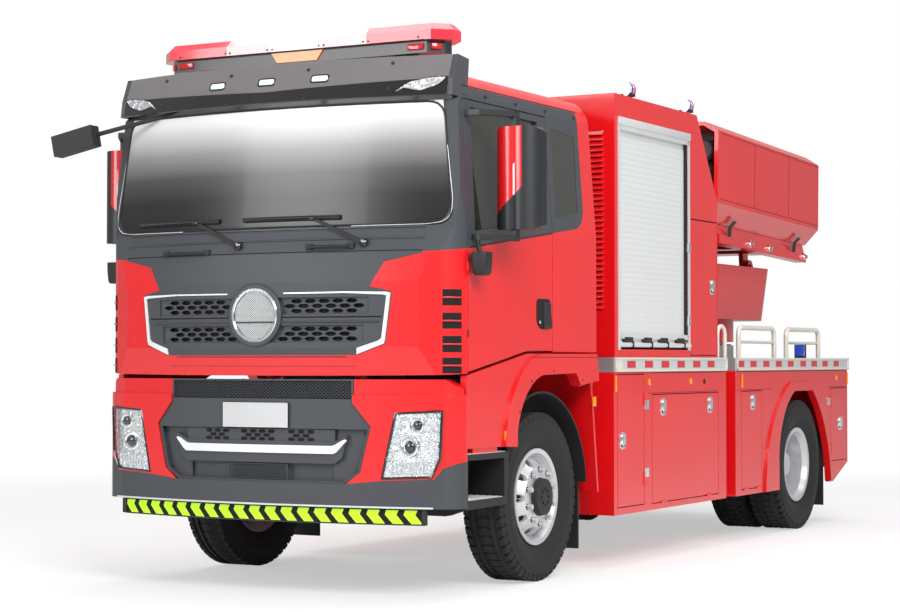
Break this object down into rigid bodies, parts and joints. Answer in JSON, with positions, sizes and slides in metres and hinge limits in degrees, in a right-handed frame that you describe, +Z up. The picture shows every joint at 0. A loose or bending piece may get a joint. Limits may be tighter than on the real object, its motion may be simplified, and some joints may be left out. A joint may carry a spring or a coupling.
{
  "type": "rocket launcher fire truck",
  "caption": "Two-axle cab-over fire truck with an equipment box, side lockers and a slewing, elevating launcher pod.",
  "frame": {"origin": "on the ground below the middle of the overall length, on the centre plane", "axes": "+X forwards, +Y to the left, +Z up"},
  "size_m": [7.208, 3.16, 3.3478],
  "materials": {
    "red_paint": "gloss fire red",
    "chassis_black": "satin black",
    "engine_grey": "painted casting",
    "dark_plastic": "moulded dark grey",
    "lamp_glass": "clear lamp cover",
    "shutter_aluminium": "satin anodised",
    "deck_plate": "chequer plate",
    "rail_paint": "cream silver paint",
    "beacon_plastic": "coloured lens",
    "glass": "tinted",
    "visor_acrylic": "smoke acrylic",
    "interior_plastic": "moulded",
    "tube_paint": "matt grey",
    "wheel_paint": "silver",
    "tyre": "tyre rubber",
    "rod_chrome": "polished"
  },
  "bodies": {
    "chassis": {"frame": "chassis_black", "leaf_springs": "chassis_black", "front_axle": "chassis_black", "rear_axle": "chassis_black", "driveline": "engine_grey", "bumper": "dark_plastic", "bumper_band": "red_paint", "headlamps": "lamp_glass", "steps_and_liners": "dark_plastic", "front_mudguards": "red_paint", "equipment_box": "red_paint", "shutters": "shutter_aluminium", "lockers_front": "red_paint", "lockers_rear": "red_paint", "deck": "deck_plate", "deck_rails": "rail_paint", "beacons": "beacon_plastic"},
    "cab": {"cab_shell": "red_paint", "cab_roof": "red_paint", "cab_glass": "glass", "front_panel": "red_paint", "grille": "dark_plastic", "sun_visor": "visor_acrylic", "light_bar": "beacon_plastic", "wipers_and_front_mirror": "dark_plastic", "cab_interior": "interior_plastic"},
    "turret": {"turret": "red_paint"},
    "pod": {"pod_shell": "red_paint", "launch_tubes": "tube_paint"},
    "lift_cylinder": {"lift_cylinder": "chassis_black"},
    "lift_rod": {"lift_rod": "rod_chrome"},
    "cab_door_left": {"cab_door_left": "red_paint", "door_glass_left": "glass"},
    "knuckle_left": {"knuckle_left": "chassis_black"},
    "front_wheel_left": {"front_wheel_left": "wheel_paint", "front_tyre_left": "tyre"},
    "rear_wheels_left": {"rear_wheel_left": "wheel_paint", "rear_tyres_left": "tyre"},
    "box_door_left": {"box_door_left": "red_paint"},
    "locker_door_a_left": {"locker_door_a_left": "red_paint"},
    "locker_door_b_left": {"locker_door_b_left": "red_paint"},
    "locker_door_c_left": {"locker_door_c_left": "red_paint"},
    "locker_door_d_left": {"locker_door_d_left": "red_paint"},
    "cab_door_right": {"cab_door_right": "red_paint", "door_glass_right": "glass"},
    "knuckle_right": {"knuckle_right": "chassis_black"},
    "front_wheel_right": {"front_wheel_right": "wheel_paint", "front_tyre_right": "tyre"},
    "rear_wheels_right": {"rear_wheel_right": "wheel_paint", "rear_tyres_right": "tyre"},
    "box_door_right": {"box_door_right": "red_paint"},
    "locker_door_a_right": {"locker_door_a_right": "red_paint"},
    "locker_door_b_right": {"locker_door_b_right": "red_paint"},
    "locker_door_c_right": {"locker_door_c_right": "red_paint"},
    "locker_door_d_right": {"locker_door_d_right": "red_paint"}
  },
  "joints": [
    {"name": "cab_tilt", "type": "hinge", "parent": "chassis", "child": "cab", "pos_m": [3.476, 0, 0.6], "axis": [0, 1, 0], "range_deg": [0, 50]},
    {"name": "turret_slew", "type": "hinge", "parent": "chassis", "child": "turret", "pos_m": [-2.354, 0, 1.52], "axis": [0, 0, 1], "range_deg": [-110, 110]},
    {"name": "pod_lift", "type": "hinge", "parent": "turret", "child": "pod", "pos_m": [-3.154, 0, 2.17], "axis": [0, -1, 0], "range_deg": [0, 60]},
    {"name": "lift_cylinder_swing", "type": "hinge", "parent": "turret", "child": "lift_cylinder", "pos_m": [-3.004, 0, 1.8], "axis": [0, -1, 0], "range_deg": [0, 34]},
    {"name": "lift_rod_slide", "type": "slide", "parent": "lift_cylinder", "child": "lift_rod", "axis": [0.5905, 0, 0.807], "range_m": [0, 0.274]},
    {"name": "cab_door_left_hinge", "type": "hinge", "parent": "cab", "child": "cab_door_left", "pos_m": [3.281, 1.244, 2.08], "axis": [0, 0, -1], "range_deg": [0, 70]},
    {"name": "steer_left", "type": "hinge", "parent": "chassis", "child": "knuckle_left", "pos_m": [2.196, 0.92, 0.522], "axis": [0, 0, 1], "range_deg": [-38, 38]},
    {"name": "front_wheel_left_spin", "type": "hinge", "parent": "knuckle_left", "child": "front_wheel_left", "pos_m": [2.196, 1.03, 0.522], "axis": [0, 1, 0], "continuous": true},
    {"name": "rear_wheels_left_spin", "type": "hinge", "parent": "chassis", "child": "rear_wheels_left", "pos_m": [-2.404, 0.93, 0.522], "axis": [0, 1, 0], "continuous": true},
    {"name": "box_door_left_hinge", "type": "hinge", "parent": "chassis", "child": "box_door_left", "pos_m": [-0.06, 1.245, 1.89], "axis": [0, 0, -1], "range_deg": [0, 110]},
    {"name": "locker_a_left_hinge", "type": "hinge", "parent": "chassis", "child": "locker_door_a_left", "pos_m": [0.772, 1.245, 0.83], "axis": [0, 0, 1], "range_deg": [0, 90]},
    {"name": "locker_b_left_hinge", "type": "hinge", "parent": "chassis", "child": "locker_door_b_left", "pos_m": [0.021, 1.245, 0.391], "axis": [-1, 0, 0], "range_deg": [0, 90]},
    {"name": "locker_c_left_hinge", "type": "hinge", "parent": "chassis", "child": "locker_door_c_left", "pos_m": [-1.282, 1.245, 0.391], "axis": [-1, 0, 0], "range_deg": [0, 90]},
    {"name": "locker_d_left_hinge", "type": "hinge", "parent": "chassis", "child": "locker_door_d_left", "pos_m": [-3.155, 1.245, 0.825], "axis": [0, 0, -1], "range_deg": [0, 110]},
    {"name": "cab_door_right_hinge", "type": "hinge", "parent": "cab", "child": "cab_door_right", "pos_m": [3.281, -1.244, 2.08], "axis": [0, 0, 1], "range_deg": [0, 70]},
    {"name": "steer_right", "type": "hinge", "parent": "chassis", "child": "knuckle_right", "pos_m": [2.196, -0.92, 0.522], "axis": [0, 0, 1], "range_deg": [-38, 38]},
    {"name": "front_wheel_right_spin", "type": "hinge", "parent": "knuckle_right", "child": "front_wheel_right", "pos_m": [2.196, -1.03, 0.522], "axis": [0, 1, 0], "continuous": true},
    {"name": "rear_wheels_right_spin", "type": "hinge", "parent": "chassis", "child": "rear_wheels_right", "pos_m": [-2.404, -0.93, 0.522], "axis": [0, 1, 0], "continuous": true},
    {"name": "box_door_right_hinge", "type": "hinge", "parent": "chassis", "child": "box_door_right", "pos_m": [-0.06, -1.245, 1.89], "axis": [0, 0, 1], "range_deg": [0, 110]},
    {"name": "locker_a_right_hinge", "type": "hinge", "parent": "chassis", "child": "locker_door_a_right", "pos_m": [0.772, -1.245, 0.83], "axis": [0, 0, -1], "range_deg": [0, 90]},
    {"name": "locker_b_right_hinge", "type": "hinge", "parent": "chassis", "child": "locker_door_b_right", "pos_m": [0.021, -1.245, 0.391], "axis": [1, 0, 0], "range_deg": [0, 90]},
    {"name": "locker_c_right_hinge", "type": "hinge", "parent": "chassis", "child": "locker_door_c_right", "pos_m": [-1.282, -1.245, 0.391], "axis": [1, 0, 0], "range_deg": [0, 90]},
    {"name": "locker_d_right_hinge", "type": "hinge", "parent": "chassis", "child": "locker_door_d_right", "pos_m": [-3.155, -1.245, 0.825], "axis": [0, 0, 1], "range_deg": [0, 110]}
  ],
  "couplings": [
    {"joint": "steer_right", "follows": "steer_left", "ratio": 1},
    {"joint": "lift_cylinder_swing", "follows": "pod_lift", "ratio": 0.5538},
    {"joint": "lift_rod_slide", "follows": "pod_lift", "m_per_rad": 0.2605}
  ]
}
